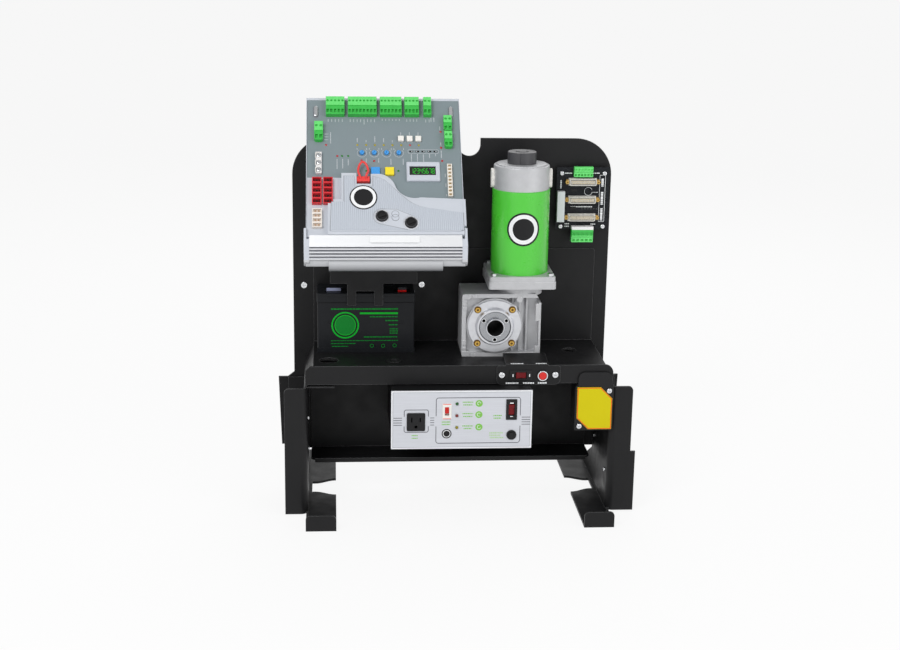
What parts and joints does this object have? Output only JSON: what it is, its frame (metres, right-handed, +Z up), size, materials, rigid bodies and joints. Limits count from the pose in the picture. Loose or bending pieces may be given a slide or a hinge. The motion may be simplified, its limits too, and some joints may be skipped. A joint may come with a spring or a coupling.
{
  "type": "sliding gate motor",
  "caption": "Open chassis of a sliding gate motor: worm gearbox with upright motor, leaning controller, battery, power box and legs with anchor slots.",
  "frame": {"origin": "on the floor, in the middle of the four anchor slots and of the overall width", "axes": "+Z up, +X to the right seen from the front, +Y to the back"},
  "size_m": [0.552, 0.352, 0.6291],
  "materials": {
    "black_steel": "satin black powder coat",
    "zinc": "bright zinc plating",
    "silver_panel": "fine silver lacquer",
    "black_plastic": "moulded",
    "white_plastic": "moulded",
    "red_plastic": "moulded",
    "dark_red_plastic": "moulded",
    "lamp_lens": "tinted lens",
    "yellow_plate": "lacquered",
    "battery_case": "moulded case",
    "terminal_metal": "tinned",
    "cast_aluminium": "die cast",
    "machined_aluminium": "turned",
    "brass_bolts": "yellow passivated",
    "bearing_steel": "ground",
    "hub_steel": "turned",
    "bronze": "cast and hobbed",
    "green_paint": "gloss enamel",
    "dark_cap": "moulded",
    "magnet": "sintered",
    "rotor_steel": "laminated, varnished",
    "light_grey_plastic": "moulded",
    "blue_grey_plastic": "moulded",
    "circuit_board": "solder mask",
    "black_board": "solder mask",
    "sink_aluminium": "anodised extrusion",
    "socket_plastic": "moulded",
    "green_plastic": "moulded",
    "red_wire": "insulation",
    "display_frame": "moulded",
    "tinned_connector": "tinned shell",
    "blue_plastic": "moulded",
    "yellow_plastic": "moulded"
  },
  "bodies": {
    "chassis": {"back_plate": "black_steel", "lower_panel": "black_steel", "shelf": "black_steel", "left_leg": "black_steel", "right_leg": "black_steel", "zinc_screws": "zinc", "power_box": "black_steel", "power_panel": "silver_panel", "power_outlet": "black_plastic", "voltage_selector_body": "white_plastic", "switch_bezels": "black_plastic", "breaker_body": "black_plastic", "panel_leds": "lamp_lens", "switch_bracket": "black_steel", "junction_box": "black_plastic", "junction_cover": "yellow_plate", "battery": "battery_case", "battery_terminals": "terminal_metal", "gearbox_housing": "cast_aluminium", "gearbox_cover": "machined_aluminium", "cover_bolts": "brass_bolts", "gearbox_bearings": "bearing_steel", "motor_flange": "cast_aluminium", "motor_body": "green_paint", "motor_end_cap": "cast_aluminium", "motor_brushes": "white_plastic", "encoder_cap": "dark_cap", "motor_magnets": "magnet", "controller_bracket": "black_steel", "controller_housing": "light_grey_plastic", "controller_faceplate": "blue_grey_plastic", "controller_cover": "light_grey_plastic", "controller_board": "circuit_board", "heat_sink": "sink_aluminium", "harness_sockets": "socket_plastic", "terminal_plugs": "green_plastic", "jumper_wire": "red_wire", "display": "display_frame", "sensor_board": "black_board", "d_sub_connectors": "tinned_connector"},
    "rotor": {"worm_shaft": "hub_steel", "armature": "rotor_steel"},
    "output": {"output_hub": "hub_steel", "worm_wheel": "bronze"},
    "power_rocker_body": {"power_rocker": "dark_red_plastic"},
    "voltage_slider_body": {"voltage_slider": "red_plastic"},
    "breaker_button_body": {"breaker_button": "black_plastic"},
    "release_rocker_body": {"release_rocker": "dark_red_plastic"},
    "reset_button_body": {"reset_button": "red_plastic"},
    "blue_button_body": {"blue_button": "blue_plastic"},
    "yellow_button_body": {"yellow_button": "yellow_plastic"},
    "open_button_body": {"open_button": "white_plastic"},
    "stop_button_body": {"stop_button": "white_plastic"},
    "close_button_body": {"close_button": "white_plastic"},
    "trimmer_1_body": {"trimmer_1": "blue_plastic"},
    "trimmer_2_body": {"trimmer_2": "blue_plastic"},
    "trimmer_3_body": {"trimmer_3": "blue_plastic"},
    "trimmer_4_body": {"trimmer_4": "blue_plastic"},
    "cover_knob_1_body": {"cover_knob_1": "black_plastic"},
    "cover_knob_2_body": {"cover_knob_2": "black_plastic"}
  },
  "joints": [
    {"name": "rotor_spin", "type": "hinge", "parent": "chassis", "child": "rotor", "pos_m": [0.0975, -0.0305, 0.43], "axis": [0, 0, 1], "continuous": true},
    {"name": "output_spin", "type": "hinge", "parent": "chassis", "child": "output", "pos_m": [0.0575, -0.0305, 0.2895], "axis": [0, 1, 0], "continuous": true},
    {"name": "power_rocker_tip", "type": "hinge", "parent": "chassis", "child": "power_rocker_body", "pos_m": [0.0786, -0.1374, 0.1786], "axis": [1, 0, 0], "range_deg": [0, 16]},
    {"name": "voltage_slide", "type": "slide", "parent": "chassis", "child": "voltage_slider_body", "axis": [0, 0, -1], "range_m": [0, 0.0034]},
    {"name": "breaker_push", "type": "slide", "parent": "chassis", "child": "breaker_button_body", "axis": [0, 1, 0], "range_m": [0, 0.0012], "stiffness_N_per_m": 400, "springref_m": -0.001},
    {"name": "release_rocker_tip", "type": "hinge", "parent": "chassis", "child": "release_rocker_body", "pos_m": [0.0944, -0.1124, 0.2247], "axis": [0, 0, 1], "range_deg": [-16, 0]},
    {"name": "reset_push", "type": "slide", "parent": "chassis", "child": "reset_button_body", "axis": [0, 1, 0], "range_m": [0, 0.0012], "stiffness_N_per_m": 400, "springref_m": -0.001},
    {"name": "blue_push", "type": "slide", "parent": "chassis", "child": "blue_button_body", "axis": [0, 0.7547, -0.6561], "range_m": [0, 0.0012], "stiffness_N_per_m": 400, "springref_m": -0.001},
    {"name": "yellow_push", "type": "slide", "parent": "chassis", "child": "yellow_button_body", "axis": [0, 0.7547, -0.6561], "range_m": [0, 0.0012], "stiffness_N_per_m": 400, "springref_m": -0.001},
    {"name": "open_push", "type": "slide", "parent": "chassis", "child": "open_button_body", "axis": [0, 0.7547, -0.6561], "range_m": [0, 0.0012], "stiffness_N_per_m": 400, "springref_m": -0.001},
    {"name": "stop_push", "type": "slide", "parent": "chassis", "child": "stop_button_body", "axis": [0, 0.7547, -0.6561], "range_m": [0, 0.0012], "stiffness_N_per_m": 400, "springref_m": -0.001},
    {"name": "close_push", "type": "slide", "parent": "chassis", "child": "close_button_body", "axis": [0, 0.7547, -0.6561], "range_m": [0, 0.0012], "stiffness_N_per_m": 400, "springref_m": -0.001},
    {"name": "trimmer_turn_1", "type": "hinge", "parent": "chassis", "child": "trimmer_1_body", "pos_m": [-0.1451, -0.04515, 0.55147], "axis": [0, -0.7547, 0.6561], "range_deg": [-135, 135]},
    {"name": "trimmer_turn_2", "type": "hinge", "parent": "chassis", "child": "trimmer_2_body", "pos_m": [-0.12675, -0.04515, 0.55147], "axis": [0, -0.7547, 0.6561], "range_deg": [-135, 135]},
    {"name": "trimmer_turn_3", "type": "hinge", "parent": "chassis", "child": "trimmer_3_body", "pos_m": [-0.1084, -0.04515, 0.55147], "axis": [0, -0.7547, 0.6561], "range_deg": [-135, 135]},
    {"name": "trimmer_turn_4", "type": "hinge", "parent": "chassis", "child": "trimmer_4_body", "pos_m": [-0.09005, -0.04515, 0.55147], "axis": [0, -0.7547, 0.6561], "range_deg": [-135, 135]},
    {"name": "cover_knob_turn_1", "type": "hinge", "parent": "chassis", "child": "cover_knob_1_body", "pos_m": [-0.1174, -0.11948, 0.46596], "axis": [0, -0.7547, 0.6561], "range_deg": [0, 90]},
    {"name": "cover_knob_turn_2", "type": "hinge", "parent": "chassis", "child": "cover_knob_2_body", "pos_m": [-0.0751, -0.12669, 0.45766], "axis": [0, -0.7547, 0.6561], "range_deg": [0, 90]}
  ],
  "couplings": [
    {"joint": "output_spin", "follows": "rotor_spin", "ratio": 0.033333}
  ]
}
